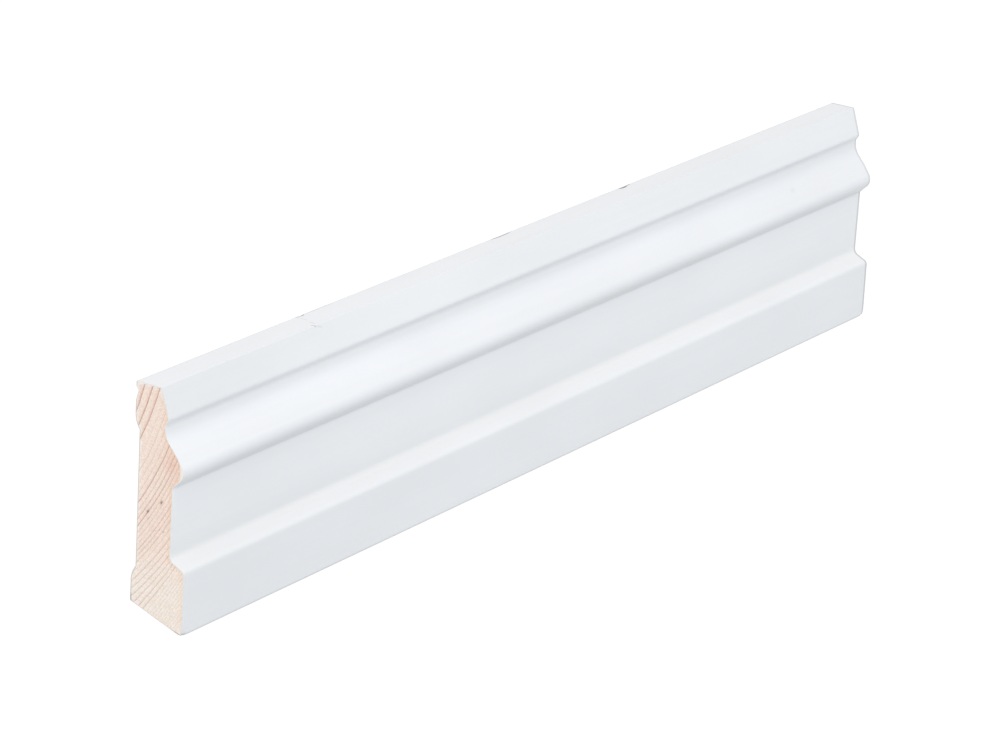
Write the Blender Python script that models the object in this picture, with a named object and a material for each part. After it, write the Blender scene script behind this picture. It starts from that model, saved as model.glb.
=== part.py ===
"""A short length of painted pine skirting board, cut square at both ends.

The board is one profile carried along X. The wall side faces +Y and the moulded face faces -Y, with +Z up.
The origin is the middle of the lower of the two lands that touch the wall.
"""

from math import acos, cos, pi, radians, sin, tan

import bmesh
import bpy
from mathutils import Vector

# Overall sizes, in metres
LENGTH = 0.310
HEIGHT = 0.058

# Moulded face from the floor up: plinth, bevel and flat field
FIELD_THICKNESS = 0.01095  # wall plane to the foot of the field
FIELD_LEAN = 0.0002  # the head of the field stands this much further out than its foot
PLINTH_PROJECTION = 0.00405  # plinth face in front of the foot of the field
PLINTH_HEIGHT = 0.01555
BEVEL_RISE = 0.00195
UNDERCUT_ANGLE = radians(19.4)  # the underside rises from the toe towards the wall

# Moulded face from the top down: leaning band, quirk, ogee and bead
BAND_HEIGHT = 0.0072
BAND_LEAN = 0.00235  # the foot of the band stands this much further out than its head
BAND_SETBACK = 0.0016  # foot of the band behind the head of the field
BAND_UNDERSIDE = 0.0016  # height of the sloping step under the band
QUIRK_DEPTH = 0.0008
QUIRK_HEIGHT = 0.00285
OGEE_HEIGHT = 0.0071
OGEE_BULGE = 0.0003  # the slope swells this much beyond a straight line
NOSE_PROJECTION = 0.0030  # nose of the ogee in front of the head of the field
BEAD_HEIGHT = 0.0022
BEAD_TUCK = 0.0007  # the bead falls back this much below the nose
BEAD_UNDERSIDE = 0.00245  # height of the return from the bead to the field

# Wall side: two lands with a shallow relief between them
RELIEF_DEPTH = 0.00127
LOWER_LAND_TOP = 0.01005  # height of the top of the lower land above the floor
UPPER_LAND_HEIGHT = 0.00775

# Radii of the rounded edges and hollows
BACK_EDGE_RADIUS = 0.0006
FRONT_EDGE_RADIUS = 0.00045
BAND_FOOT_RADIUS = 0.0003
QUIRK_RADIUS = 0.00035
COVE_RADIUS = 0.0016
BELLY_RADIUS = 0.008
NOSE_RADIUS = 0.00155
BEAD_RADIUS = 0.0015
FIELD_HEAD_RADIUS = 0.0003
FIELD_FOOT_RADIUS = 0.0006
PLINTH_RADIUS = 0.0013
TOE_RADIUS = 0.0008
HEEL_RADIUS = 0.0004
SHOULDER_RADIUS = 0.006

# Fineness of the rounding
ARC_STEP = radians(7.5)
SHARP_ANGLE = radians(25)


def clear_scene():
    for thing in list(bpy.data.objects):
        bpy.data.objects.remove(thing, do_unlink=True)


def make_material(name, colour, roughness):
    material = bpy.data.materials.new(name)
    material.use_nodes = True
    shader = material.node_tree.nodes["Principled BSDF"]
    shader.inputs["Base Color"].default_value = (*colour, 1.0)
    shader.inputs["Roughness"].default_value = roughness
    shader.inputs["Metallic"].default_value = 0.0
    return material


def arc(centre, radius, start, turn):
    """Points on a circle from the angle start through the angle turn, both ends included."""
    steps = max(2, round(abs(turn) / ARC_STEP))
    angles = [start + turn * step / steps for step in range(steps + 1)]
    return [centre + radius * Vector((cos(angle), sin(angle))) for angle in angles]


def rounded(before, corner, after, radius):
    """The corner replaced by an arc that touches both of its edges, kept within the shorter edge."""
    back, ahead = before - corner, after - corner
    half = back.angle(ahead) / 2
    reach = min(radius / tan(half), 0.48 * back.length, 0.48 * ahead.length)
    radius = reach * tan(half)
    centre = corner + (back.normalized() + ahead.normalized()).normalized() * radius / sin(half)
    first = corner + back.normalized() * reach - centre
    last = corner + ahead.normalized() * reach - centre
    start = Vector((1, 0)).angle_signed(first) * -1
    turn = first.angle_signed(last) * -1
    return arc(centre, radius, start, turn)


def front_corners():
    """(y, z, radius) of each corner of the moulded face, from the top of the board to the toe."""
    field_head = -FIELD_THICKNESS - FIELD_LEAN
    band_foot = field_head + BAND_SETBACK
    quirk = band_foot + QUIRK_DEPTH
    nose = field_head - NOSE_PROJECTION
    plinth = -FIELD_THICKNESS - PLINTH_PROJECTION

    band_foot_z = HEIGHT - BAND_HEIGHT
    quirk_top_z = band_foot_z - BAND_UNDERSIDE
    cove_z = quirk_top_z - QUIRK_HEIGHT
    nose_z = cove_z - OGEE_HEIGHT
    bead_z = nose_z - BEAD_HEIGHT

    slope = Vector((nose - quirk, nose_z - cove_z))
    outward = Vector((slope.y, -slope.x)).normalized()
    belly = Vector((quirk, cove_z)) + slope / 2 + outward * OGEE_BULGE
    return [
        (band_foot + BAND_LEAN, HEIGHT, FRONT_EDGE_RADIUS),
        (band_foot, band_foot_z, BAND_FOOT_RADIUS),
        (quirk, quirk_top_z, QUIRK_RADIUS),
        (quirk, cove_z, COVE_RADIUS),
        (belly.x, belly.y, BELLY_RADIUS),
        (nose, nose_z, NOSE_RADIUS),
        (nose + BEAD_TUCK, bead_z, BEAD_RADIUS),
        (field_head, bead_z - BEAD_UNDERSIDE, FIELD_HEAD_RADIUS),
        (-FIELD_THICKNESS, PLINTH_HEIGHT + BEVEL_RISE, FIELD_FOOT_RADIUS),
        (plinth, PLINTH_HEIGHT, PLINTH_RADIUS),
    ]


def toe_and_heel():
    """The two corners of the sloping underside, set so that the rounded toe just touches the floor."""
    plinth = -FIELD_THICKNESS - PLINTH_PROJECTION
    # The arc's centre is one radius above the floor and one radius behind the plinth face. The underside
    # touches that arc, so it meets the plinth face this far below the arc's centre.
    toe_drop = TOE_RADIUS * (1 / cos(UNDERCUT_ANGLE) + tan(UNDERCUT_ANGLE))
    toe_z = TOE_RADIUS - toe_drop
    heel_z = toe_z - plinth * tan(UNDERCUT_ANGLE)
    return (plinth, toe_z, TOE_RADIUS), (0.0, heel_z, HEEL_RADIUS)


def relief_points():
    """The shallow relief of the wall side from the lower land up to the upper one, with rounded shoulders."""
    turn = acos(1 - RELIEF_DEPTH / SHOULDER_RADIUS)
    lower = arc(Vector((-SHOULDER_RADIUS, LOWER_LAND_TOP)), SHOULDER_RADIUS, 0, turn)
    upper_foot = HEIGHT - UPPER_LAND_HEIGHT
    upper = arc(Vector((-SHOULDER_RADIUS, upper_foot)), SHOULDER_RADIUS, -turn, turn)
    return lower + upper


def profile():
    """The closed outline as (y, z) points, running from the back edge over the face to the heel and up the back."""
    toe, heel = toe_and_heel()
    corners = [(0.0, HEIGHT, BACK_EDGE_RADIUS), *front_corners(), toe, heel]
    places = [Vector(corner[:2]) for corner in corners]
    relief = relief_points()
    before_each = [relief[-1], *places[:-1]]
    after_each = [*places[1:], relief[0]]
    points = []
    for before, place, after, corner in zip(before_each, places, after_each, corners):
        points += rounded(before, place, after, corner[2])
    return points + relief


def wall_mount_height():
    """Middle of the lower land, which is the height of the part's origin above the floor."""
    heel = toe_and_heel()[1]
    return (heel[1] + LOWER_LAND_TOP) / 2


def make_board(paint, pine):
    """The profile drawn at the left end and extruded to the right end."""
    lift = wall_mount_height()
    form = bmesh.new()
    left = [form.verts.new((-LENGTH / 2, y, z - lift)) for y, z in profile()]
    cap = form.faces.new(left)
    moved = bmesh.ops.extrude_face_region(form, geom=[cap])["geom"]
    right = [item for item in moved if isinstance(item, bmesh.types.BMVert)]
    bmesh.ops.translate(form, verts=right, vec=(LENGTH, 0, 0))
    bmesh.ops.recalc_face_normals(form, faces=form.faces)
    for face in form.faces:
        bare = abs(face.normal.x) > 0.5 or face.normal.y > 0.5
        face.material_index = int(bare)
    mesh = bpy.data.meshes.new("skirting_board")
    form.to_mesh(mesh)
    form.free()
    mesh.shade_smooth()
    mesh.set_sharp_from_angle(angle=SHARP_ANGLE)
    mesh.materials.append(paint)
    mesh.materials.append(pine)
    board = bpy.data.objects.new("skirting_board", mesh)
    bpy.context.scene.collection.objects.link(board)
    return board


def main():
    clear_scene()
    paint = make_material("white_paint", (0.82, 0.83, 0.84), 0.35)
    pine = make_material("bare_pine", (0.72, 0.56, 0.44), 0.7)
    make_board(paint, pine)


main()
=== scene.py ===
"""A short length of white painted pine skirting board, cut square at both ends, in a pale studio.

The moulded face looks towards -Y and the wall side towards +Y. The sawn ends show the growth rings of the
pine, and the same rings run along the bare back as stripes. Geometry is in metres. The patterns of the wood
and the paint are worked out in millimetres, and the names of their sizes end in _MM.
"""

from math import atan2, cos, pi, radians, sin, tan

import bpy
import numpy as np
from bpy.props import FloatProperty, FloatVectorProperty, IntProperty, PointerProperty
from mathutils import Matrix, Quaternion, Vector


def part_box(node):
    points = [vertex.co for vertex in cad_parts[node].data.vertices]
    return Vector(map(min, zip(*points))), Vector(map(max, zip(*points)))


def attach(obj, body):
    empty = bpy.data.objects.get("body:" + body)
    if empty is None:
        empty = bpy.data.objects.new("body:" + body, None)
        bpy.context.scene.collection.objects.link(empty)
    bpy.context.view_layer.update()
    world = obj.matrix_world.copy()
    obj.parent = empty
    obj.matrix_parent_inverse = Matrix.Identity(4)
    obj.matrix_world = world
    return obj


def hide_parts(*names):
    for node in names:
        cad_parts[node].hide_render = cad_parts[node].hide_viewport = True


bl_info = {
    "name": "Painted Skirting Board",
    "version": (1, 0, 0),
    "blender": (4, 5, 0),
    "location": "3D View > Sidebar > Skirting",
    "description": "A length of white painted pine skirting with bare sawn ends, and a pale studio around it",
    "category": "Add Mesh",
}

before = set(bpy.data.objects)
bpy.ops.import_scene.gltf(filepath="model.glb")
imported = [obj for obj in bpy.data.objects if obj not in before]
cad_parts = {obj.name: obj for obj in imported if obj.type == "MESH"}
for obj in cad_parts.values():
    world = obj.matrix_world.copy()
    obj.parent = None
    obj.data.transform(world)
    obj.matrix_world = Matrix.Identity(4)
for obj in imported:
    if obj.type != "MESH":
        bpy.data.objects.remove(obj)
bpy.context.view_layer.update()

SOLID = "skirting_board"
BODY = "root"
LOWEST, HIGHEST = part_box(SOLID)

# Radii of the rounded edges and hollows, in metres
BACK_EDGE_RADIUS = 0.0006
FRONT_EDGE_RADIUS = 0.00007
BAND_FOOT_RADIUS = 0.0012
QUIRK_RADIUS = 0.0016
COVE_RADIUS = 0.0048
BELLY_RADIUS = 0.008
NOSE_RADIUS = 0.0028
FIELD_HEAD_RADIUS = 0.0003
FIELD_FOOT_RADIUS = 0.0020
PLINTH_RADIUS = 0.0013
TOE_RADIUS = 0.0005
HEEL_RADIUS = 0.0004
SHOULDER_RADIUS = 0.006
EDGE_SHARE = 0.48  # an arc uses at most this share of an edge

# Fineness of the mesh
ARC_POINTS = 25
TURN_WEIGHT = 0.004  # one radian of turn counts as this much length when the heights are shared out
BACK_POINTS = 600
END_PLACES_MM = (0.0, 0.04, 0.1, 0.25, 0.5, 0.85, 1.3, 2.0, 3.0, 4.5)  # sections near a sawn end
PLAIN_START = 0.007  # from a sawn end to the plain run
PLAIN_SPACING = 0.0075  # between sections of the plain run
CHIP_SECTIONS = 14
CLOSEST = 0.00002  # a section nearer than this to the one before is left out
SHARP_ANGLE = radians(38)

# The growth rings, as circles about a pith that lies above and behind the board
PITH_Y_MM = 70.3
PITH_Z_MM = 69.7
RING_START_MM = 306.63
RING_SLOPE = 0.034  # rings to a millimetre before the bends
RING_BENDS = ((86.01, 17.68, 0.7965), (95.64, 1.0, -0.246), (104.0, 1.5, 0.22))  # (radius, reach, slope)
LATE_WIDTH_MM = 0.17
BOLD_EXTRA_MM = 0.12  # the bold lines are this much wider

# How the rings stray from those circles
SWAY_MM = 4.5  # slowly along the board, beginning at the left end and in full from SWAY_START_MM on
SWAY_START_MM = 90.0
WOBBLE_MM = 0.22
OUTER_SHARE = 0.15  # the outer rings lie further out by this share of the arc below OUTER_MIDDLE
OUTER_MIDDLE = radians(39.9)
OUTER_RADIUS_MM = 106.0
OUTER_FROM_MM = (98.0, 108.0)
FIRST_SHIFT_MM = 0.3  # the first rings lie this much further out
FIRST_FADE_MM = (84.0, 78.0)
THIRD_SHIFT_MM = 0.09  # the third ring lies this much further in at THIRD_MIDDLE
THIRD_TURN_MM = 2.6  # and goes further in by this much to a radian downwards
THIRD_MIDDLE = 0.26  # in radians
THIRD_FROM_MM = (76.6, 77.4)
THIRD_FADE_MM = (82.0, 79.5)
MEAN_RADIUS_MM = 90.0  # turns an angle into a way round a ring


def length(name, description, default):
    return FloatProperty(name=name, description=description, default=default, unit="LENGTH", precision=5)


def angle(name, description, degrees):
    return FloatProperty(name=name, description=description, default=radians(degrees), subtype="ANGLE")


def share(name, description, default):
    return FloatProperty(name=name, description=description, default=default, min=0.0, max=1.0)


def colour(name, description, default):
    return FloatVectorProperty(
        name=name, description=description, default=default, subtype="COLOR", min=0.0, max=1.0
    )


class BoardSizes(bpy.types.PropertyGroup):
    """Sizes of the board's section. Its length and height come from the solid."""

    field_thickness: length("Field thickness", "Wall plane to the foot of the flat field", 0.01095)
    field_lean: length("Field lean", "How far the head of the field stands in front of its foot", 0.0002)
    plinth_projection: length("Plinth projection", "Plinth face in front of the foot of the field", 0.00405)
    plinth_height: length("Plinth height", "Floor to the top of the plinth face", 0.01555)
    bevel_rise: length("Bevel rise", "Height of the bevel above the plinth", 0.00195)
    undercut: angle("Undercut", "Slope of the underside from the toe up to the wall", 19.4)
    band_height: length("Band height", "Height of the leaning band at the top", 0.0074)
    band_lean: length("Band lean", "How far the foot of the band stands in front of its head", 0.00235)
    band_setback: length("Band setback", "Foot of the band behind the head of the field", 0.0016)
    band_underside: length("Band underside", "Height of the sloping step under the band", 0.0016)
    quirk_depth: length("Quirk depth", "Foot of the groove behind the foot of the band", 0.00065)
    quirk_lean: length("Quirk lean", "How far the head of the groove lies behind its foot", 0.00035)
    quirk_height: length("Quirk height", "Height of the groove under the band", 0.00278)
    ogee_height: length("Ogee height", "Height of the moulding down to its nose", 0.00779)
    ogee_bulge: length("Ogee bulge", "Swell of the slope beyond a straight line", 0.0003)
    nose_projection: length("Nose projection", "Nose in front of the head of the field", 0.00359)
    nose_underside: length("Nose underside", "Height of the return from the nose to the field", 0.00362)
    relief_depth: length("Relief depth", "Depth of the relief in the wall side", 0.00127)
    lower_land_top: length("Lower land top", "Floor to the top of the lower land", 0.01005)
    upper_land_height: length("Upper land height", "Height of the land at the top of the wall side", 0.00775)
    arris: length("Arris", "Wear of the sawn edges", 0.00009)
    rows: IntProperty(name="Rows", description="Heights in the section", default=212, min=60)
    columns: IntProperty(name="Columns", description="Points across the section", default=40, min=12)


class BoardFinish(bpy.types.PropertyGroup):
    """Colours and gloss of the paint and of the bare pine."""

    paint: colour("Paint", "White satin paint", (0.677, 0.708, 0.738))
    rim: colour("Paint edge", "Paint where the saw cut through it", (0.85, 0.80, 0.765))
    bruise: colour("Bruise", "Cracked and chipped paint", (0.15, 0.15, 0.145))
    early_wood: colour("Early wood", "Pale wood of each ring", (0.90, 0.765, 0.69))
    low_wood: colour("Low wood", "Paler wood towards the toe", (0.90, 0.84, 0.775))
    late_wood: colour("Late wood", "Dark line of each ring", (0.42, 0.22, 0.15))
    red_late_wood: colour("Red late wood", "Redder stretches of the lines", (0.56, 0.16, 0.11))
    bold_late_wood: colour("Bold late wood", "Dark line of the first rings", (0.46, 0.16, 0.065))
    nose_wood: colour("Nose wood", "Redder wood inside the nose", (0.84, 0.60, 0.50))
    straw_wood: colour("Straw wood", "Yellower patches", (0.86, 0.785, 0.655))
    edge_wood: colour("Edge wood", "Wood just behind the painted face", (0.86, 0.64, 0.46))
    # The two edge colours below feed the fringe of the ends: grey paint and wood, deepened by painted shade
    # along the back and underside edges, darkest at the heel and the toe.
    dull_rim: colour("Dull edge", "Grey paint and wood along the back edge", (0.54, 0.51, 0.45))
    dark_rim: colour("Dark edge", "Dirt on the edges of the heel and the toe", (0.34, 0.34, 0.30))
    resin: colour("Resin", "Specks of dark resin", (0.16, 0.06, 0.035))
    paint_roughness: share("Paint roughness", "Blur of the paint's gloss", 0.42)
    wood_roughness: share("Wood roughness", "Blur of the bare wood's gloss", 0.78)


class StudioLook(bpy.types.PropertyGroup):
    """The camera, the lights and the floor."""

    azimuth: angle("Azimuth", "Camera's turn about the board", -57.310)
    elevation: angle("Elevation", "Camera's height as an angle", 18.919)
    roll: angle("Roll", "Camera's turn about its own axis", 3.155)
    distance: length("Distance", "Camera to the point that it looks at", 1.22664)
    target: FloatVectorProperty(
        name="Target",
        description="Point that the camera looks at",
        default=(-0.00521, 0.0, 0.01516),
        subtype="TRANSLATION",
        unit="LENGTH",
    )
    lens: FloatProperty(name="Lens", description="Focal length in millimetres", default=176.69)
    room_light: FloatProperty(name="Room light", description="Even light from all sides", default=0.83)
    key_light: FloatProperty(
        name="Key light", description="Soft light from the front and above", default=21.3, unit="POWER"
    )
    key_tint: colour("Key tint", "Colour of the soft light", (1.0, 0.965, 0.94))
    floor_glow: FloatProperty(name="Floor glow", description="Light that the floor sends up", default=0.94)
    floor: colour("Floor", "Colour of the pale floor", (0.05, 0.05, 0.05))
    floor_size: length("Floor size", "Side of the square floor", 12.0)


def ripple(places, size, seed, waves=24):
    """Smooth noise of about -1 to 1 with bumps of a size: a mean of plane waves whose directions, lengths
    and phases are random."""
    draw = np.random.default_rng(seed)
    aim = draw.normal(size=(waves, places.shape[-1]))
    aim /= np.linalg.norm(aim, axis=1, keepdims=True)
    pace = 2 * pi / (size * draw.uniform(1.2, 3.2, waves))
    phase = draw.uniform(0, 2 * pi, waves)
    return np.sin(places @ (aim * pace[:, None]).T + phase).sum(-1) * (1.6 / waves) ** 0.5 / 2


def fall_off(distance):
    """A smooth bump: one at no distance, and next to nothing from a distance of two."""
    return np.exp(-(distance**2))


def rounded(corners):
    """A closed outline whose every corner is an arc that touches both of its edges.

    An arc reaches radius / tan(half the corner) along each edge, or EDGE_SHARE of the shorter edge if that
    is less. Its centre lies on the bisector, radius / sin(half the corner) away.
    """
    place = corners[:, :2]
    back = np.roll(place, 1, axis=0) - place
    ahead = np.roll(place, -1, axis=0) - place
    back_length = np.linalg.norm(back, axis=1)
    ahead_length = np.linalg.norm(ahead, axis=1)
    back /= back_length[:, None]
    ahead /= ahead_length[:, None]
    half = np.arccos((back * ahead).sum(1)) / 2
    reach = np.minimum(corners[:, 2] / np.tan(half), EDGE_SHARE * np.minimum(back_length, ahead_length))
    radius = reach * np.tan(half)
    bisector = back + ahead
    bisector /= np.linalg.norm(bisector, axis=1, keepdims=True)
    centre = place + bisector * (radius / np.sin(half))[:, None]
    first = place + back * reach[:, None] - centre
    last = place + ahead * reach[:, None] - centre
    start = np.arctan2(first[:, 1], first[:, 0])
    turn = np.arctan2(last[:, 1], last[:, 0]) - start
    turn = (turn + pi) % (2 * pi) - pi
    angle = start[:, None] + turn[:, None] * np.linspace(0, 1, ARC_POINTS)
    circle = np.stack([np.cos(angle), np.sin(angle)], axis=-1)
    return (centre[:, None] + radius[:, None, None] * circle).reshape(-1, 2)


def section_corners(sizes, height):
    """(y, height above the floor, radius) of each corner, from the back edge over the face to the heel."""
    field_head = -sizes.field_thickness - sizes.field_lean
    band_foot = field_head + sizes.band_setback
    quirk = band_foot + sizes.quirk_depth
    nose = field_head - sizes.nose_projection
    plinth = -sizes.field_thickness - sizes.plinth_projection

    band_foot_z = height - sizes.band_height
    quirk_top_z = band_foot_z - sizes.band_underside
    cove_z = quirk_top_z - sizes.quirk_height
    nose_z = cove_z - sizes.ogee_height

    slope = Vector((nose - quirk, nose_z - cove_z))
    outward = Vector((slope.y, -slope.x)).normalized()
    belly = Vector((quirk, cove_z)) + slope / 2 + outward * sizes.ogee_bulge

    # The toe's arc touches both the floor and the plinth face, and the underside touches the arc.
    toe_z = TOE_RADIUS * (1 - 1 / cos(sizes.undercut) - tan(sizes.undercut))
    heel_z = toe_z - plinth * tan(sizes.undercut)
    return np.array(
        [
            (0.0, height, BACK_EDGE_RADIUS),
            (band_foot + sizes.band_lean, height, FRONT_EDGE_RADIUS),
            (band_foot, band_foot_z, BAND_FOOT_RADIUS),
            (quirk + sizes.quirk_lean, quirk_top_z, QUIRK_RADIUS),
            (quirk, cove_z, COVE_RADIUS),
            (belly.x, belly.y, BELLY_RADIUS),
            (nose, nose_z, NOSE_RADIUS),
            (field_head, nose_z - sizes.nose_underside, FIELD_HEAD_RADIUS),
            (-sizes.field_thickness, sizes.plinth_height + sizes.bevel_rise, FIELD_FOOT_RADIUS),
            (plinth, sizes.plinth_height, PLINTH_RADIUS),
            (plinth, toe_z, TOE_RADIUS),
            (0.0, heel_z, HEEL_RADIUS),
        ]
    )


def wall_relief(height, sizes, top):
    """Depth of the relief at each height: the sagitta of a circle of SHOULDER_RADIUS that leaves each land
    straight on, no deeper than the relief."""
    from_land = np.minimum(height - sizes.lower_land_top, top - sizes.upper_land_height - height)
    from_land = np.clip(from_land, 0, SHOULDER_RADIUS)
    return np.minimum(sizes.relief_depth, SHOULDER_RADIUS - np.sqrt(SHOULDER_RADIUS**2 - from_land**2))


def section_sides(sizes, height):
    """The front and the back of the section as two lines of (y, height), both from the top to the toe."""
    outline = rounded(section_corners(sizes, height))
    lowest = outline[:, 1].argmin()
    front = outline[ARC_POINTS : lowest + 1]
    back = np.concatenate([outline[ARC_POINTS - 1 :: -1], outline[: lowest - 1 : -1]])
    heights = np.unique(np.concatenate([back[:, 1], np.linspace(back[-1, 1], height, BACK_POINTS)]))[::-1]
    across = np.interp(heights, back[::-1, 1], back[::-1, 0])
    return front, np.stack([across - wall_relief(heights, sizes, height), heights], axis=1)


def effort(side):
    """Length and turning along a side from its first point, for each of its points."""
    step = np.diff(side, axis=0)
    heading = np.unwrap(np.arctan2(step[:, 1], step[:, 0]))
    turning = np.abs(np.diff(heading, prepend=heading[0]))
    return np.concatenate([[0.0], np.cumsum(np.hypot(step[:, 0], step[:, 1]) + TURN_WEIGHT * turning)])


def shared_heights(front, back, count):
    """Heights from the top to the toe, closer together where either side turns or runs nearly level."""
    every = np.unique(np.concatenate([front[:, 1], back[:, 1]]))
    total = sum(np.interp(every, side[::-1, 1], effort(side)[::-1]) for side in (front, back))
    return np.interp(np.linspace(0, total.max(), count), total[::-1], every[::-1])


# Wear of the mesh, in metres
CHIPS = (  # (x, half length, depth) in the top back edge
    (-0.0090, 0.0043, 0.00012),
    (0.0474, 0.0020, 0.00022),
    (-0.0930, 0.0009, 0.00018),
)
CHIP_LINE = 0.00012  # the line that the chips follow lies this deep in the top and in the back
CHIP_REACH = 0.0004
CHIP_TAPER = 1.25
CHIP_SPAN = 1.2  # the close sections reach this many half lengths to either side
TOE_WEAR = 0.0003
TOE_WEAR_REACH = 0.0011  # along the board and up the section
TEAR_HEIGHT = 0.0481  # in the row's frame
TEAR_ABOVE = 0.0006
TEAR_BELOW = 0.0014
TEAR_REACH = 0.0012
TEAR_DEPTH = 0.0006
TEAR_FRONT = 0.003  # the tear ends this far in front of the wall plane
TEAR_FADE = 0.002
TEAR_BUMPS = 0.0008
TEAR_ROUGH = 0.35  # share of its depth by which the tear is uneven
ARRIS_REACH = 1.2  # a sawn edge is worn over this many times its wear
ARRIS_BUMPS = (0.0006, 0.0002)
ARRIS_TORN = 1.1  # share by which the wear grows where the fibres tore
SAW_DEPTH = 0.00003
SAW_BUMPS = (0.0011, 0.006)
SAW_FADE = 12  # the waves begin one part in this many of the width away from the outline


def section_places(half):
    """X of each section: far apart on the plain run, close at the ends and around the chips."""
    near_end = np.array(END_PLACES_MM) * 0.001
    plain = np.linspace(PLAIN_START - half, half - PLAIN_START, round(2 * half / PLAIN_SPACING))
    spans = [(x - CHIP_SPAN * reach, x + CHIP_SPAN * reach) for x, reach, _ in CHIPS]
    chips = [np.linspace(*span, CHIP_SECTIONS) for span in spans]
    places = np.sort(np.concatenate([near_end - half, half - near_end, plain, *chips]))
    return places[np.concatenate([[True], np.diff(places) > CLOSEST])]


def chip_depth(places):
    """Depth of the chips in the top back edge: long shallow ovals about the edge."""
    edge = np.hypot(places[..., 1] + CHIP_LINE, places[..., 2] - HIGHEST.z + CHIP_LINE)
    ovals = [deep * fall_off((places[..., 0] - x) / reach * CHIP_TAPER) for x, reach, deep in CHIPS]
    return sum(ovals) * fall_off(edge / CHIP_REACH)


def tear_depth(places, half):
    """Depth of the wood torn off the wall side where the saw came through at the left end."""
    from_end = places[..., 0] + half
    rise = places[..., 2] - TEAR_HEIGHT
    rise = rise / np.where(rise > 0, TEAR_ABOVE, TEAR_BELOW)
    on_back = np.clip((places[..., 1] + TEAR_FRONT) / TEAR_FADE, 0, 1)
    return TEAR_DEPTH * fall_off(rise) * fall_off(from_end / TEAR_REACH) * on_back


def toe_wear(places, half):
    """Depth of the wear that blunts the toe's corner at both ends."""
    rise = np.hypot(places[..., 1] - LOWEST.y, places[..., 2] - LOWEST.z)
    from_end = half - abs(places[..., 0])
    return TOE_WEAR * fall_off(rise / TOE_WEAR_REACH) * fall_off(from_end / TOE_WEAR_REACH)


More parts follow.
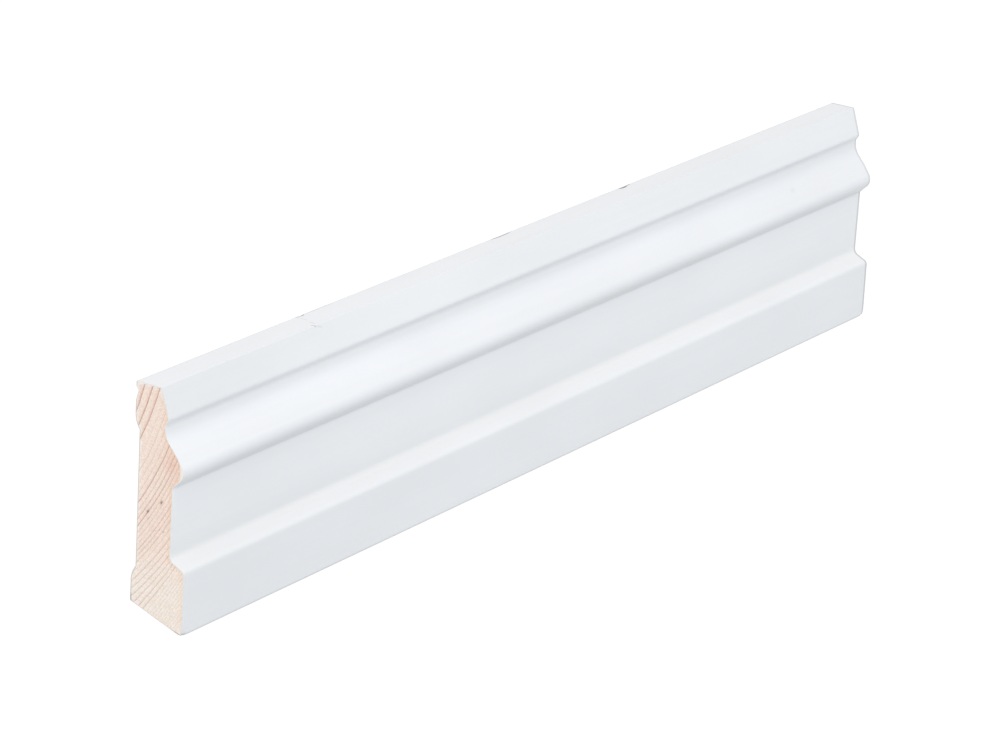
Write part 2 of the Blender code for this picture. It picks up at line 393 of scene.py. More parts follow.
class Board:
    """The board's mesh, worked out section by section.

    A section is a loop of points: the front from the top to the toe, the back from the toe up, and the top
    from the back to the front. The sections are carried along X. An end is closed by a grid whose rows run
    from the front to the back and whose lowest row is the toe.
    """

    def __init__(self, sizes):
        self.sizes = sizes
        self.rows = sizes.rows
        self.columns = sizes.columns
        self.half = (HIGHEST.x - LOWEST.x) / 2
        self.height = HIGHEST.z - LOWEST.z
        self.front, self.back = section_sides(sizes, self.height)
        self.heights = shared_heights(self.front, self.back, self.rows)
        self.loop_count = 2 * self.rows + self.columns - 3
        even = np.linspace(0, 1, self.columns)
        self.across = (even + (1 - np.cos(pi * even)) / 2) / 2

    def loop_of_top(self):
        """Place in the loop of each point of the top, from the front to the back."""
        return (2 * self.rows - 2 + self.columns - 1 - np.arange(self.columns)) % self.loop_count

    def section(self):
        """The loop's points as (y, z) in the row's frame."""
        front = np.interp(self.heights, self.front[::-1, 1], self.front[::-1, 0])
        back = np.interp(self.heights, self.back[::-1, 1], self.back[::-1, 0])
        across = front[0] + (back[0] - front[0]) * self.across[1:-1]
        y = np.concatenate([front, back[-2::-1], across[::-1]])
        z = np.concatenate([self.heights, self.heights[-2::-1], np.full(len(across), self.heights[0])])
        return np.stack([y, z + LOWEST.z], axis=1)

    def inward(self, section):
        """Unit vectors across the loop that point into the wood."""
        along = np.roll(section, -1, axis=0) - np.roll(section, 1, axis=0)
        along /= np.linalg.norm(along, axis=1, keepdims=True)
        return np.stack([-along[:, 1], along[:, 0]], axis=1)

    def bare_distance(self, section):
        """How far up the bare wall side a point is from the painted edges, in millimetres."""
        on_back = np.zeros(self.loop_count, bool)
        on_back[self.rows : 2 * self.rows - 1] = True
        z = section[:, 1] - LOWEST.z
        reach = np.minimum(self.height - BACK_EDGE_RADIUS - z, z - self.heel_top())
        return 1000 * np.clip(reach, 0, None) * on_back

    def heel_top(self):
        """Height above the floor where the rounding of the heel ends."""
        return section_corners(self.sizes, self.height)[-1, 1] + HEEL_RADIUS

    def tube(self, section):
        """Every section's points. The last tenth of a millimetre draws in towards the sawn end."""
        x = section_places(self.half)
        count = len(x)
        places = np.empty((count, self.loop_count, 3))
        places[..., 0] = x[:, None]
        places[..., 1:] = section
        from_end = (self.half - np.abs(x))[:, None]
        worn = self.sizes.arris * np.clip(1 - from_end / (ARRIS_REACH * self.sizes.arris), 0, 1) ** 2
        coarse, fine = [ripple(places, size, seed) for size, seed in zip(ARRIS_BUMPS, (5, 6))]
        worn = worn * (1 + ARRIS_TORN * np.clip(coarse + 0.5 * fine - 0.25, 0, 1))
        inset = worn + chip_depth(places) + toe_wear(places, self.half)
        places[..., 1:] += inset[..., None] * self.inward(section)
        tear = tear_depth(places, self.half)
        places[..., 1] -= tear * (1 + TEAR_ROUGH * ripple(places, TEAR_BUMPS, 9))
        places[..., 1] = np.clip(places[..., 1], LOWEST.y, HIGHEST.y)
        places[..., 2] = np.clip(places[..., 2], LOWEST.z, HIGHEST.z)
        return places

    def end_grid(self, loop):
        """The inner points of a sawn end, in rows between the front and the back of its loop.

        The saw left shallow waves, so each point is let into the end by a smooth noise that fades at the
        outline.
        """
        front = loop[1 : self.rows - 1]
        back = loop[2 * self.rows - 3 : self.rows - 1 : -1]
        across = self.across[1:-1][None, :, None]
        grid = front[:, None] + (back - front)[:, None] * across
        fine, coarse = [ripple(grid, size, seed) for size, seed in zip(SAW_BUMPS, (21, 22))]
        waves = SAW_DEPTH * (1 + (fine + coarse).clip(-1, 1))
        fade = np.clip(np.minimum(across[..., 0], 1 - across[..., 0]) * SAW_FADE, 0, 1)
        grid[..., 0] -= np.sign(loop[0, 0]) * waves * fade
        return grid

    def grid_numbers(self, first_inner, loop_start):
        """Point numbers of a whole end as rows and columns, its inner ones counted from first_inner."""
        numbers = np.empty((self.rows, self.columns), int)
        numbers[:, 0] = np.arange(self.rows)
        numbers[:, -1] = 2 * self.rows - 2 - np.arange(self.rows)
        numbers[0] = self.loop_of_top()
        numbers[-1] = self.rows - 1
        numbers += loop_start
        inner = (self.rows - 2) * (self.columns - 2)
        numbers[1:-1, 1:-1] = first_inner + np.arange(inner).reshape(self.rows - 2, self.columns - 2)
        return numbers


def tube_faces(sections, loop_count):
    """Four-sided faces between neighbouring sections, the last point of a loop joined to its first."""
    base = (np.arange(sections - 1) * loop_count)[:, None]
    here = np.arange(loop_count)
    after = (here + 1) % loop_count
    faces = [base + here, base + after, base + loop_count + after, base + loop_count + here]
    return np.stack(faces, axis=-1).reshape(-1, 4)


def end_faces(numbers, turned):
    """Faces of an end's grid. Those of the lowest row are triangles, because that row is one point."""
    upper, lower = numbers[:-2], numbers[1:-1]
    quads = np.stack([upper[:, :-1], lower[:, :-1], lower[:, 1:], upper[:, 1:]], axis=-1).reshape(-1, 4)
    last = numbers[-2]
    toe = np.full(len(last) - 1, numbers[-1, 0])
    triangles = np.stack([last[:-1], toe, last[1:]], axis=-1)
    if turned:
        return quads[:, ::-1], triangles[:, ::-1]
    return quads, triangles


def nearest_outline(grid, outline):
    """Distance in millimetres from each point of an end to the nearest point of an outline."""
    flat = grid.reshape(-1, 3)[:, 1:]
    apart = flat[:, None] - outline[None]
    return 1000 * np.sqrt((apart**2).sum(-1)).min(1)


def add_numbers(mesh, name, values):
    """Keeps one number for each point in a named attribute of the mesh."""
    layer = mesh.attributes.new(name, "FLOAT", "POINT")
    layer.data.foreach_set("value", values.astype(np.float32))


def board_mesh(sizes):
    """The closed mesh of the whole board with its two sawn ends."""
    board = Board(sizes)
    section = board.section()
    bare = board.bare_distance(section)
    tube = board.tube(section)
    ends = [board.end_grid(tube[0]), board.end_grid(tube[-1])]
    tube_size = tube.shape[0] * tube.shape[1]
    inner = ends[0].shape[0] * ends[0].shape[1]
    starts = [tube_size, tube_size + inner]
    loops = [0, tube_size - board.loop_count]

    quads = [tube_faces(tube.shape[0], board.loop_count)]
    on_tube = len(quads[0])
    triangles = []
    for start, loop, turned in zip(starts, loops, (True, False)):
        four, three = end_faces(board.grid_numbers(start, loop), turned)
        quads.append(four)
        triangles.append(three)
    quads = np.concatenate(quads)
    triangles = np.concatenate(triangles)
    places = np.concatenate([tube.reshape(-1, 3), *[end.reshape(-1, 3) for end in ends]])

    mesh = bpy.data.meshes.new("painted_board")
    mesh.from_pydata(places.tolist(), [], quads.tolist() + triangles.tolist())
    painted = section[bare == 0]
    bare_all = [np.tile(bare, tube.shape[0]), *[nearest_outline(end, painted) for end in ends]]
    add_numbers(mesh, "bare", np.concatenate(bare_all))
    rim_all = [np.zeros(tube_size), *[nearest_outline(end, section) for end in ends]]
    add_numbers(mesh, "rim", np.concatenate(rim_all))

    wood = np.ones(len(quads) + len(triangles), np.int32)
    loop_place = np.arange(on_tube) % board.loop_count
    wood[:on_tube] = (bare[loop_place] > 0) & (loop_place < 2 * board.rows - 2)
    mesh.polygons.foreach_set("material_index", wood)
    mesh.update()
    mesh.shade_smooth()
    mesh.set_sharp_from_angle(angle=SHARP_ANGLE)
    return mesh


def opaque(rgb):
    return (*rgb, 1.0)


def arithmetic(operation, turned=False):
    """A method of Term that adds a Math node. If it is turned, the other number comes first."""

    def method(self, other):
        first, second = (other, self) if turned else (self, other)
        return self.web.math(operation, first, second)

    return method


class Term:
    """A number or a colour that varies over a surface. Arithmetic with such numbers adds Math nodes."""

    __add__ = arithmetic("ADD")
    __radd__ = arithmetic("ADD", turned=True)
    __sub__ = arithmetic("SUBTRACT")
    __rsub__ = arithmetic("SUBTRACT", turned=True)
    __mul__ = arithmetic("MULTIPLY")
    __rmul__ = arithmetic("MULTIPLY", turned=True)
    __truediv__ = arithmetic("DIVIDE")
    __rtruediv__ = arithmetic("DIVIDE", turned=True)

    def __init__(self, web, socket):
        self.web = web
        self.socket = socket


class Web:
    """The nodes of one material."""

    def __init__(self, name):
        self.material = bpy.data.materials.new(name)
        self.material.use_nodes = True
        self.nodes = self.material.node_tree.nodes
        self.links = self.material.node_tree.links
        self.nodes.clear()

    def add(self, kind, settings=None, sockets=None, output=0):
        """A node of a kind with its settings, and with its sockets, each a value or the output of another.

        The settings stops and shading are those of a colour ramp.
        """
        node = self.nodes.new(kind)
        for name, value in (settings or {}).items():
            if name == "stops":
                self.set_stops(node.color_ramp, value)
            elif name == "shading":
                node.color_ramp.interpolation = value
            else:
                setattr(node, name, value)
        for name, value in (sockets or {}).items():
            if isinstance(value, Term):
                self.links.new(value.socket, node.inputs[name])
            else:
                node.inputs[name].default_value = value
        return Term(self, node.outputs[output]) if node.outputs else node

    def set_stops(self, ramp, stops):
        """Places and colours of a ramp's stops."""
        while len(ramp.elements) < len(stops):
            ramp.elements.new(1.0)
        for element, (place, rgb) in zip(ramp.elements, stops):
            element.position = place
            element.color = opaque(rgb)

    def math(self, operation, *terms):
        return self.add("ShaderNodeMath", {"operation": operation}, dict(enumerate(terms)))

    def smooth(self, value, low, high):
        """Nought below low, one above high, and an S curve between them."""
        steps = {"Value": value, "From Min": low, "From Max": high}
        return self.add("ShaderNodeMapRange", {"interpolation_type": "SMOOTHSTEP"}, steps)

    def blend(self, factor, first, second):
        """The first colour where the factor is nought and the second where it is one."""
        kinds = {"data_type": "RGBA"}
        return self.add("ShaderNodeMix", kinds, {0: factor, 6: first, 7: second}, output=2)

    def stretch(self, vector, factors):
        return self.add("ShaderNodeVectorMath", {"operation": "MULTIPLY"}, {0: vector, 1: factors})

    def scaled(self, vector, factor):
        """A vector or a colour times one number."""
        return self.add("ShaderNodeVectorMath", {"operation": "SCALE"}, {0: vector, "Scale": factor})

    def noise(self, vector, pace, detail=2.0, roughness=0.5):
        """Noise about nought, from roughly -0.5 to 0.5. Pace is how many bumps there are to a unit of the
        vector, along each axis."""
        sockets = {
            "Vector": self.stretch(vector, pace),
            "Scale": 1.0,
            "Detail": detail,
            "Roughness": roughness,
        }
        return self.add("ShaderNodeTexNoise", None, sockets) - 0.5

    def parts(self, vector):
        """X, Y and Z of a vector."""
        apart = self.add("ShaderNodeSeparateXYZ", None, {0: vector})
        return [Term(self, output) for output in apart.socket.node.outputs]

    def together(self, x, y, z):
        return self.add("ShaderNodeCombineXYZ", None, {0: x, 1: y, 2: z})

    def number(self, name):
        """An attribute of the mesh."""
        return self.add("ShaderNodeAttribute", {"attribute_name": name}, None, output=2)

    def place_mm(self):
        """The place on the board in millimetres."""
        return self.stretch(self.add("ShaderNodeTexCoord", None, None, output=3), (1000.0, 1000.0, 1000.0))

    def finish(self, base, roughness, height):
        """A rough surface of a colour, with its small relief in millimetres."""
        bump = self.add("ShaderNodeBump", None, {"Strength": 1.0, "Distance": 0.001, "Height": height})
        sockets = {"Base Color": base, "Roughness": roughness, "Normal": bump, "IOR": 1.46}
        shader = self.add("ShaderNodeBsdfPrincipled", None, sockets)
        self.add("ShaderNodeOutputMaterial", None, {"Surface": shader})
        return self.material


def oval(along, across, at, sizes, heading):
    """Squared distance from the middle of an oval turned by an angle: nought there and one at its rim."""
    first = along - at[0]
    second = across - at[1]
    forward = first * cos(heading) + second * sin(heading)
    aside = second * cos(heading) - first * sin(heading)
    return forward * forward / sizes[0] ** 2 + aside * aside / sizes[1] ** 2


# Painted light and shade: the paint is darkened on the lowest edge of the toe and a little on the plinth,
# lightened on the bevel, the field and the ogee, darkened as a painted shadow under the nose, and near the
# left end darkened on the face, most on the band, and lightened on the top edge.
PAINTED_LIGHT_AND_SHADE = (  # (height in mm, brightness painted into the paint there as light and shade, how much of it is left at the left end)
    (-7.5, 0.77, 0.98),
    (-7.15, 0.80, 0.98),
    (-6.75, (0.965, 0.965, 0.967), 0.98),
    (7.4, (0.965, 0.965, 0.967), 0.98),
    (8.3, (1.03, 1.012, 0.998), 0.985),
    (10.2, (1.03, 1.012, 0.998), 0.985),
    (12.5, (1.0, 0.998, 0.997), 0.975),
    (20.0, 1.025, 0.965),
    (23.0, 1.04, 0.963),
    (25.3, 1.055, 0.963),
    (26.4, 1.09, 0.965),
    (27.0, 1.07, 0.975),
    (27.4, 0.90, 0.985),
    (28.4, 0.895, 0.985),
    (30.0, 0.925, 0.99),
    (31.6, (0.975, 0.97, 0.975), 1.0),
    (33.0, (1.016, 1.006, 1.01), 1.01),
    (37.0, (1.02, 1.01, 1.015), 1.01),
    (40.0, 1.0, 0.995),
    (42.4, 1.0, 0.98),
    (43.4, 1.0, 0.957),
    (50.3, 1.0, 0.957),
    (50.45, (1.015, 0.998, 0.992), 1.025),
)
PAINTED_LIGHT_SCALE = 1.12  # keeps the ramps' colours below one
PAINTED_LIGHT_SPAN_MM = 60.0
PAINTED_LIGHT_LEFT_MM = (-45.0, -135.0)  # the left end's ramp takes over between these
# Painted shade: shares of light taken from the paint's colour at the top back edge, the left toe and the
# right end's edge
BACK_EDGE_PAINTED_SHADE = 0.09
LEFT_TOE_PAINTED_SHADE = 0.22
RIGHT_EDGE_PAINTED_SHADE = 0.2
CLOUD_SHADE = 0.955  # brightness of the paint in its darkest clouds
GRAIN_RELIEF_MM = 0.012
PEBBLE_RELIEF_MM = 0.0035


def painted_light_ramp(web, x, z):
    """Painted light and shade: brightness painted into the paint over the height, from one ramp for the board
    and one for its left end, where painted shade stands for the light falling off.
    """
    lowest = LOWEST.z * 1000
    ramps = []
    for at_left in (0, 1):
        stops = []
        for height, shade, left in PAINTED_LIGHT_AND_SHADE:
            levels = np.full(3, shade) * left**at_left / PAINTED_LIGHT_SCALE
            stops.append(((height - lowest) / PAINTED_LIGHT_SPAN_MM, levels))
        settings = {"stops": stops, "shading": "LINEAR"}
        ramps.append(web.add("ShaderNodeValToRGB", settings, {"Fac": (z - lowest) / PAINTED_LIGHT_SPAN_MM}))
    return web.scaled(web.blend(web.smooth(x, *PAINTED_LIGHT_LEFT_MM), *ramps), PAINTED_LIGHT_SCALE)


def painted_edge_shade(web, x, y, z):
    """Painted shade: how much the paint's colour is darkened at the top back edge, more so towards the right
    end, on the toe at the left end, and on the edge of the right end, more so low down."""
    back_edge = web.smooth(y, -0.8, -0.3) * web.smooth(z, 49.0, 50.0) * (1.0 + web.smooth(x, 60.0, 140.0))
    left_toe = web.smooth(x, -153.2, -154.4) * web.smooth(z, -6.4, -7.1)
    right_edge = web.smooth(x, 153.9, 154.4) * (1.0 + 0.5 * web.smooth(z, 31.0, 29.0))
    return BACK_EDGE_PAINTED_SHADE * back_edge + LEFT_TOE_PAINTED_SHADE * left_toe + RIGHT_EDGE_PAINTED_SHADE * right_edge


def paint_layer(web, place, look):
    """Colour, roughness and relief of the paint: a satin coat with a faint cloudiness, the grain of the wood
    showing through as long low ridges, and a fine pebble left by the spray, with painted light and shade over
    the height and painted shade on some edges."""
    grain = web.noise(place, (0.012, 1.1, 1.1), 3.0, 0.6)
    pebble = web.noise(place, (1.6, 1.6, 1.6))
    cloud = web.noise(place, (0.02, 0.06, 0.06))
    darker = [level * CLOUD_SHADE for level in look.paint]
    colour_now = web.blend(web.smooth(cloud + 0.35 * grain, -0.35, 0.4), opaque(darker), opaque(look.paint))
    x, y, z = web.parts(place)
    # painted light and shade over the height
    colour_now = web.stretch(colour_now, painted_light_ramp(web, x, z))
    # painted shade on the top back edge, the left toe and the right end's edge
    colour_now = web.scaled(colour_now, 1.0 - painted_edge_shade(web, x, y, z))
    roughness = look.paint_roughness + 0.1 * pebble + 0.06 * cloud
    height = GRAIN_RELIEF_MM * grain + PEBBLE_RELIEF_MM * pebble
    return colour_now, roughness, height


PAINT_MARKS_MM = (  # (x, y, half length, half width, heading in degrees, strength) in plan
    (-93.0, -0.6, 0.8, 0.42, 0.0, 0.8),
    (-94.5, -0.65, 1.2, 0.3, 0.0, 0.35),
    (-87.5, -0.5, 7.0, 0.3, 0.0, 0.24),
    (-94.85, -2.6, 1.3, 0.18, 87.0, 0.2),
    (-95.7, -5.8, 0.85, 0.17, -77.0, 0.28),
    (-97.35, -6.85, 0.42, 0.17, -56.0, 0.62),
    (-96.85, -7.26, 0.34, 0.07, -10.0, 0.5),
    (-95.3, -7.4, 1.2, 0.09, -6.0, 0.12),
    (-9.1, -0.55, 4.3, 0.46, 0.0, 0.72),
    (47.1, -0.65, 1.9, 0.66, 0.0, 1.0),
    (49.4, -0.5, 1.4, 0.4, 0.0, 0.6),
)


def paint_marks(web, place):
    """The crack and the chips of the top, from 0 to 1, each made of ovals with ragged rims."""
    x, y, z = web.parts(place)
    ragged = web.noise(place, (2.2, 2.2, 2.2), 2.0, 0.6)
    total = None
    for at_x, at_y, reach, width, heading, strength in PAINT_MARKS_MM:
        apart = oval(x, y, (at_x, at_y), (reach, width), radians(heading))
        mark = strength * web.smooth(apart + 0.7 * ragged, 1.4, 0.5)
        total = mark if total is None else web.math("MAXIMUM", total, mark)
    return total * web.smooth(z, 46.0, 47.0)


DENT_MM = (117.2, -10.97, 35.9)  # on the slope of the ogee
DENT_REACH_MM = 0.7
DENT_SPREAD = 0.4  # below one, so that the dent is longer along the board
DENT_DEPTH_MM = 0.08
# The next number darkens the dent's colour: painted shade in its hollow, besides its relief.
DENT_PAINTED_SHADE = 0.085
MARK_DEPTH_MM = 0.05
MARK_SHADE = 0.9


def dent_strength(web, place):
    """One in the middle of the small dent and nought from about two reaches away."""
    x, y, z = [part - at for part, at in zip(web.parts(place), DENT_MM)]
    squares = DENT_SPREAD * (x * x) + y * y + z * z
    return web.math("EXPONENT", squares * (-1 / DENT_REACH_MM**2))


def painted_face(look):
    """Paint on the moulded face, the top and the underside, dull and dark where it cracked or chipped, with
    painted shade in the small dent.
    """
    web = Web("satin_white_paint")
    place = web.place_mm()
    colour_now, roughness, height = paint_layer(web, place, look)
    broken = paint_marks(web, place)
    dent = dent_strength(web, place)
    # bruise colour where the paint cracked or chipped, and painted shade in the dent
    shade = broken * MARK_SHADE + DENT_PAINTED_SHADE * dent
    colour_now = web.blend(shade, colour_now, opaque(look.bruise))
    height = height - MARK_DEPTH_MM * broken - DENT_DEPTH_MM * dent
    return web.finish(colour_now, roughness + 0.3 * broken, height)


RING_LEVELS = (  # (first ring, darkness of its line and of those after it)
    *((0, 0.95), (3, 0.16), (4, 0.4), (7, 0.98), (8, 0.5), (9, 0.74), (10, 0.92), (11, 0.5)),
    *((13, 0.42), (14, 0.7), (15, 0.57), (17, 0.38), (18, 0.62), (24, 0.27), (28, 0.2)),
)
RING_SCALE = 40  # more than there are rings
BOLD_RINGS = 3


def ring_strength(web, ring):
    """How dark each ring's line is: the first are bold, the next nearly absent, then most are fine."""
    stops = [(first / RING_SCALE, (level, level, level)) for first, level in RING_LEVELS]
    settings = {"stops": stops, "shading": "CONSTANT"}
    shared = web.add("ShaderNodeValToRGB", settings, {"Fac": (ring + 1.5) / RING_SCALE})
    grey = web.add("ShaderNodeRGBToBW", None, {0: shared})
    own = web.add("ShaderNodeTexWhiteNoise", {"noise_dimensions": "1D"}, {"W": ring})
    return grey * (0.9 + 0.2 * own)


def true_radius(web, radius, turn):
    """The radius of a circle in millimetres that the ring at this place would lie on if it didn't stray."""
    outer = web.smooth(radius, *OUTER_FROM_MM)
    radius = radius - OUTER_SHARE * outer * ((turn - OUTER_MIDDLE) * OUTER_RADIUS_MM)
    first = web.smooth(radius, *FIRST_FADE_MM)
    third = web.smooth(radius, *THIRD_FROM_MM) * web.smooth(radius, *THIRD_FADE_MM)
    inward = THIRD_TURN_MM * (turn - THIRD_MIDDLE) + THIRD_SHIFT_MM
    return radius - FIRST_SHIFT_MM * first + third * inward


def growth(web, place):
    """Rings of the pine as (late wood from 0 to 1, ring number, how bold, radius, way round the ring).

    The radius is the distance from the pith, moved a little by slow noise along the board. The ring number
    is a straight line of the radius plus slope * (d + sqrt(d^2 + reach^2)) for each bend, with d the
    distance beyond it. Late wood darkens slowly outwards and ends at once where the next ring begins.
    """
    x, y, z = web.parts(place)
    from_left = web.smooth(x, LOWEST.x * 1000, LOWEST.x * 1000 + SWAY_START_MM)
    sway = SWAY_MM * web.noise(place, (0.010, 0.03, 0.03)) * from_left
    wobble = WOBBLE_MM * web.noise(place, (0.03, 0.35, 0.35), 2.0, 0.55)
    across = PITH_Y_MM - y
    up = PITH_Z_MM - z
    turn = web.math("ARCTAN2", up, across)
    radius = true_radius(web, web.math("SQRT", across * across + up * up) + sway + wobble, turn)
    count = RING_SLOPE * (radius - RING_START_MM)
    pace = RING_SLOPE
    for middle, reach, slope in RING_BENDS:
        beyond = radius - middle
        root = web.math("SQRT", beyond * beyond + reach * reach)
        count = count + slope * (beyond + root)
        pace = pace + slope * (1 + beyond / root)
    ring = web.math("FLOOR", count)
    inside = 1 - (count - ring)
    bold = 1 - web.smooth(ring, BOLD_RINGS - 1.9, BOLD_RINGS - 1.1)
    late = web.math("EXPONENT", inside / pace / (BOLD_EXTRA_MM * bold + LATE_WIDTH_MM) * -1.0)
    return late, ring, bold, radius, turn * MEAN_RADIUS_MM


RESIN_SPECKS_MM = (  # (y, z, half width, strength) on the left end
    (-8.04, 23.2, 0.28, 0.9),
    (-4.33, 20.2, 0.28, 0.82),
    (-4.5, 18.5, 0.2, 0.4),
    (-8.8, 16.3, 0.2, 0.4),
    (-7.7, 16.7, 0.16, 0.3),
)
SPECK_STRETCH = 2.0


def resin_specks(web, place):
    """Dark resin in a few pores of the left end, each a small oval drawn out along the rings."""
    x, y, z = web.parts(place)
    total = None
    for at_y, at_z, width, strength in RESIN_SPECKS_MM:
        heading = atan2(PITH_Y_MM - at_y, at_z - PITH_Z_MM)
        apart = oval(y, z, (at_y, at_z), (SPECK_STRETCH * width, width), heading)
        speck = strength * web.math("EXPONENT", apart * -1.2)
        total = speck if total is None else total + speck
    return total * web.smooth(x, 0.0, -1.0)


# Places of the section as (y, z)
TOP_BACK_MM = (0.0, 50.5)
NOSE_MM = (-14.0, 31.4)
NOSE_WOOD_MM = (-11.3, 33.2)
HEEL_MM = (0.0, -1.4)
TOE_MM = (-14.0, -7.2)
PLANER_PITCH_MM = 1.7

# Small relief of the bare wood
FIBRE_RELIEF_MM = 0.02
LINE_RELIEF_MM = 0.03
PLANER_RELIEF_MM = 0.004
SAW_RELIEF_MM = 0.02
FILM_RELIEF_MM = 0.05

# Strength of its patterns, as shares of a full change of colour
STRAW_SHARE = 0.38
NOSE_SHARE = 0.72
SHADED_SHARE = 0.16
RED_SHARE = 0.85
MIST_SHARE = 0.55
FUZZ_SHARE = 0.6
FRINGE_SHARE = 0.85


class Pine:
    """The wood of the sawn ends and the planed back, and the paint that wraps onto it."""

    def __init__(self, look):
        web = Web("bare_pine")
        self.web = web
        self.look = look
        self.place = web.place_mm()
        self.x, self.y, self.z = web.parts(self.place)
        half = HIGHEST.x * 1000
        self.on_end = web.smooth(web.math("ABSOLUTE", self.x), half - 0.3, half - 0.2)
        self.ragged = web.noise(self.place, (1.1, 1.1, 1.1), 3.0, 0.6)
        self.fibre = web.noise(self.place, (0.10, 4.5, 4.5), 3.0, 0.65)
        self.bare = web.number("bare")
        self.rim = web.number("rim") - 0.25 * self.ragged

    def near(self, at, reach):
        """One at a place of the section and nought from about two reaches away."""
        y, z = self.y - at[0], self.z - at[1]
        return self.web.math("EXPONENT", (y * y + z * z) * (-1 / reach**2))

    def behind_face(self):
        """One on an end just behind the painted face, less on the plinth, nought at the top and the toe."""
        web = self.web
        from_face = self.bare + 2.0 * web.smooth(self.z, -4.5, -6.0)
        strip = web.smooth(from_face, 1.9, 0.3) * web.smooth(self.y, -6.0, -9.0) * self.on_end
        return strip * (0.6 + 0.4 * web.smooth(self.z, 8.0, 13.0))

    def pale_edges(self):
        """One on an end under the top edge and along the back edge, where the wood is whitish."""
        web = self.web
        under_top = web.smooth(self.bare, 1.5, 0.4) * web.smooth(self.z, 46.5, 48.5)
        by_back = 1.1 * web.smooth(self.rim, 1.2, 0.45) * web.smooth(self.y, -3.2, -1.6)
        return web.math("MAXIMUM", under_top, by_back) * self.on_end

    def early_wood(self, radius, around):
        """The pale wood: paler towards the toe, yellower in patches, redder in the nose, darker just behind
        the face and whitish at the top and the back, with the rays and the fibres of the wood."""
        web, look = self.web, self.look
        blotch = web.noise(self.place, (0.015, 0.22, 0.22))
        low = web.smooth(self.z + 6.0 * blotch, 14.0, 2.0)
        wood = web.blend(low, opaque(look.early_wood), opaque(look.low_wood))
        straw = web.smooth(web.noise(self.place, (0.02, 0.42, 0.42)), -0.12, 0.2)
        wood = web.blend(STRAW_SHARE * straw, wood, opaque(look.straw_wood))
        nose = self.near(NOSE_WOOD_MM, 3.4) * self.on_end
        wood = web.blend(nose * (NOSE_SHARE + self.ragged), wood, opaque(look.nose_wood))
        wood = web.blend(self.behind_face() * (0.5 + 1.2 * self.ragged), wood, opaque(look.edge_wood))
        rays = web.noise(web.together(around, radius, self.x), (5.0, 0.35, 0.4), 2.0, 0.6)
        shaded = web.smooth(self.fibre + 0.7 * rays + 0.5 * blotch, 0.6, -0.6)
        wood = web.blend(SHADED_SHARE * shaded, wood, opaque(look.late_wood))
        wood = web.blend(self.pale_edges() * (0.6 + 1.2 * self.ragged), wood, opaque(look.rim))
        grit = web.noise(self.place, (0.15, 2.6, 2.6), 2.0, 0.7)
        return web.scaled(wood, 1.0 + 0.6 * grit)

    def line_colour(self, bold):
        """Colour of the late wood, redder in some stretches."""
        web, look = self.web, self.look
        reddish = web.smooth(web.noise(self.place, (0.05, 0.5, 0.5)), -0.06, 0.1)
        line = web.blend(RED_SHARE * reddish, opaque(look.late_wood), opaque(look.red_late_wood))
        return web.blend(bold, line, opaque(look.bold_late_wood))

    def paint_film(self):
        """Paint, from 0 to 1: a thin ragged rim on the ends, wider at the nose and the top back corner, and
        on the back a wrap at its edges with mist beyond it."""
        web, on_end = self.web, self.on_end
        rim_width = 0.26 + 0.3 * self.ragged + 0.14 * web.smooth(self.z, 48.6, 49.6)
        rim_width = rim_width + 1.1 * self.near(NOSE_MM, 1.5) + 1.1 * self.near(TOP_BACK_MM, 1.6)
        wrap_width = 0.55 + 0.9 * self.ragged
        width = web.math("MAXIMUM", rim_width * on_end + wrap_width * (1 - on_end), 0.05)
        film = 1 - web.smooth(self.bare - width, -0.12, 0.12)
        mist = web.smooth(web.noise(self.place, (1.3, 2.6, 2.6), 4.0, 0.7) - 0.12 * self.bare, -0.25, 0.25)
        fuzz = (1 - web.smooth(self.rim, 0.15, 0.5)) * on_end
        film = web.math("MAXIMUM", film, MIST_SHARE * mist * (1 - on_end))
        return web.math("MAXIMUM", film, FUZZ_SHARE * fuzz)

    def fringed(self, colour_now):
        """The colour with a dull fringe on an end along its back and underside, darker at heel and toe: grey
        paint and wood deepened by painted shade.
        """
        web, look = self.web, self.look
        beneath = web.smooth(self.z, 0.0, -1.5) * web.smooth(self.y, -14.9, -14.2)
        behind = web.smooth(self.y, -2.6, -1.4) * web.smooth(self.y - self.z + HIGHEST.z * 1000, -0.3, 0.1)
        corners = self.near(HEEL_MM, 1.3) + self.near(TOE_MM, 1.4)
        fringe = (1 - web.smooth(self.rim - 0.14 * corners, 0.16, 0.4)) * self.on_end
        fringe = fringe * web.math("MAXIMUM", behind, beneath)
        dull = web.blend(web.math("MINIMUM", corners, 1.0), opaque(look.dull_rim), opaque(look.dark_rim))
        return web.blend(FRINGE_SHARE * fringe, colour_now, dull)

    def material(self):
        """The whole material: pale wood, the rings' lines, resin, paint film and fringe, with the planer's
        ripples on the back and the saw's marks on the ends."""
        web, look = self.web, self.look
        late, ring, bold, radius, around = growth(web, self.place)
        fleck = web.noise(self.place, (0.15, 3.3, 3.3), 2.0, 0.7)
        dark = late * ring_strength(web, ring) * (1.0 + 1.8 * fleck)
        early = self.early_wood(radius, around)
        colour_now = web.blend(web.math("MINIMUM", dark, 1.0), early, self.line_colour(bold))
        specks = resin_specks(web, self.place)
        colour_now = web.blend(web.math("MINIMUM", specks, 0.9), colour_now, opaque(look.resin))
        film = self.paint_film()
        colour_now = self.fringed(web.blend(film, colour_now, opaque(look.rim)))

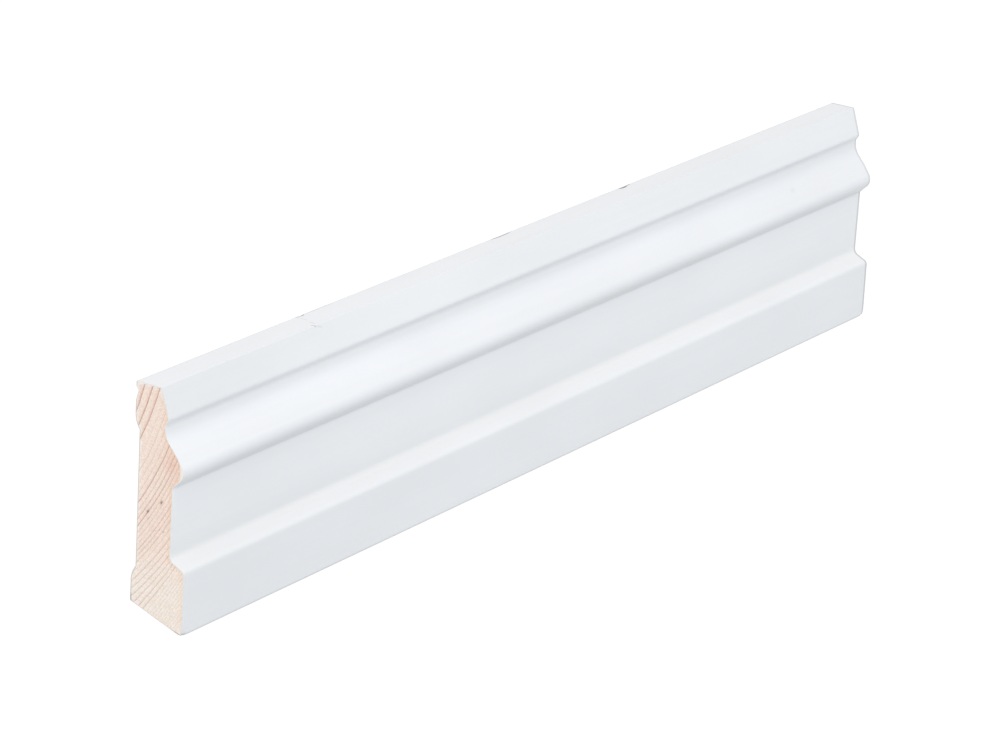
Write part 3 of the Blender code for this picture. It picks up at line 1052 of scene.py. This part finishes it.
        planer = web.math("SINE", self.x * (2 * pi / PLANER_PITCH_MM)) * (1 - self.on_end)
        saw = web.noise(self.place, (0.2, 0.35, 6.0)) * self.on_end
        height = FIBRE_RELIEF_MM * self.fibre + LINE_RELIEF_MM * dark + PLANER_RELIEF_MM * planer
        height = height + SAW_RELIEF_MM * saw + FILM_RELIEF_MM * film
        shine = 0.25 * film + 0.35 * web.math("MINIMUM", specks, 1.0)
        return web.finish(colour_now, look.wood_roughness + 0.15 * self.fibre - shine, height)


class SKIRTING_OT_board(bpy.types.Operator):
    """Make the painted board with its sawn ends and bare back"""

    bl_idname = "skirting.board"
    bl_label = "Painted Board"

    def execute(self, context):
        scene = context.scene
        mesh = board_mesh(scene.skirting_sizes)
        mesh.materials.append(painted_face(scene.skirting_finish))
        mesh.materials.append(Pine(scene.skirting_finish).material())
        board = bpy.data.objects.new("painted_board", mesh)
        scene.collection.objects.link(board)
        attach(board, BODY)
        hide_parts(SOLID)
        return {"FINISHED"}


FLOOR_GAP = 0.0002  # between the floor and the toe
FLOOR_POINTS = 5  # along a side
KEY_PLACE = (-0.401, -0.861, 1.645)
KEY_SIZE = 1.6


def make_floor(studio):
    """A flat square of floor just under the toe, bright enough to hold hardly any shadow."""
    steps = np.linspace(-0.5, 0.5, FLOOR_POINTS) * studio.floor_size
    x, y = np.meshgrid(steps, steps)
    places = np.stack([x, y, np.full_like(x, LOWEST.z - FLOOR_GAP)], axis=-1).reshape(-1, 3)
    here = np.arange(FLOOR_POINTS - 1)
    corner = (here[:, None] * FLOOR_POINTS + here).ravel()
    beyond = corner + FLOOR_POINTS
    faces = np.stack([corner, corner + 1, beyond + 1, beyond], axis=-1)
    mesh = bpy.data.meshes.new("studio_floor")
    mesh.from_pydata(places.tolist(), [], faces.tolist())
    web = Web("studio_floor")
    sockets = {
        "Base Color": opaque(studio.floor),
        "Roughness": 0.9,
        "Emission Color": opaque((1.0, 1.0, 1.0)),
        "Emission Strength": studio.floor_glow,
    }
    shader = web.add("ShaderNodeBsdfPrincipled", None, sockets)
    web.add("ShaderNodeOutputMaterial", None, {"Surface": shader})
    mesh.materials.append(web.material)
    floor = bpy.data.objects.new("studio_floor", mesh)
    bpy.context.scene.collection.objects.link(floor)


def make_room_light(studio):
    """Even white light from all sides."""
    world = bpy.data.worlds.new("pale_room")
    world.use_nodes = True
    sky = world.node_tree.nodes["Background"]
    sky.inputs["Color"].default_value = opaque((1.0, 1.0, 1.0))
    sky.inputs["Strength"].default_value = studio.room_light
    bpy.context.scene.world = world


def make_key_light(studio):
    """One large soft light in front of the board and above it."""
    data = bpy.data.lights.new("key", "AREA")
    data.shape = "SQUARE"
    data.size = KEY_SIZE
    data.energy = studio.key_light
    data.color = studio.key_tint
    key = bpy.data.objects.new("key", data)
    key.location = KEY_PLACE
    key.rotation_euler = (-key.location).to_track_quat("-Z", "Y").to_euler()
    bpy.context.scene.collection.objects.link(key)


def make_camera(studio):
    """A long lens at the given angle, turned a little about its own axis."""
    turn, rise = studio.azimuth, studio.elevation
    towards = Vector((-sin(turn) * cos(rise), cos(turn) * cos(rise), -sin(rise)))
    data = bpy.data.cameras.new("camera")
    data.sensor_width = 36.0
    data.lens = studio.lens
    camera = bpy.data.objects.new("camera", data)
    camera.location = Vector(studio.target) - towards * studio.distance
    aim = towards.to_track_quat("-Z", "Y") @ Quaternion((0.0, 0.0, 1.0), studio.roll)
    camera.rotation_euler = aim.to_euler()
    bpy.context.scene.collection.objects.link(camera)
    bpy.context.scene.camera = camera


class SKIRTING_OT_studio(bpy.types.Operator):
    """Make the pale floor, the soft lights and the camera"""

    bl_idname = "skirting.studio"
    bl_label = "Pale Studio"

    def execute(self, context):
        studio = context.scene.skirting_studio
        make_floor(studio)
        make_room_light(studio)
        make_key_light(studio)
        make_camera(studio)
        context.scene.view_settings.view_transform = "Standard"
        return {"FINISHED"}


GROUPS = {"skirting_sizes": BoardSizes, "skirting_finish": BoardFinish, "skirting_studio": StudioLook}


class SKIRTING_PT_tools(bpy.types.Panel):
    """Buttons and settings of the skirting board"""

    bl_idname = "SKIRTING_PT_tools"
    bl_label = "Skirting Board"
    bl_space_type = "VIEW_3D"
    bl_region_type = "UI"
    bl_category = "Skirting"

    def draw(self, context):
        layout = self.layout
        for operator in (SKIRTING_OT_board, SKIRTING_OT_studio):
            layout.operator(operator.bl_idname)
        for name in GROUPS:
            group = getattr(context.scene, name)
            box = layout.box()
            for key in group.__annotations__:
                box.prop(group, key)


CLASSES = (*GROUPS.values(), SKIRTING_OT_board, SKIRTING_OT_studio, SKIRTING_PT_tools)


def register():
    for each in CLASSES:
        bpy.utils.register_class(each)
    for name, group in GROUPS.items():
        setattr(bpy.types.Scene, name, PointerProperty(type=group))


def unregister():
    for name in GROUPS:
        delattr(bpy.types.Scene, name)
    for each in reversed(CLASSES):
        bpy.utils.unregister_class(each)


def main():
    register()
    bpy.ops.skirting.board()
    bpy.ops.skirting.studio()


if __name__ == "__main__":
    main()
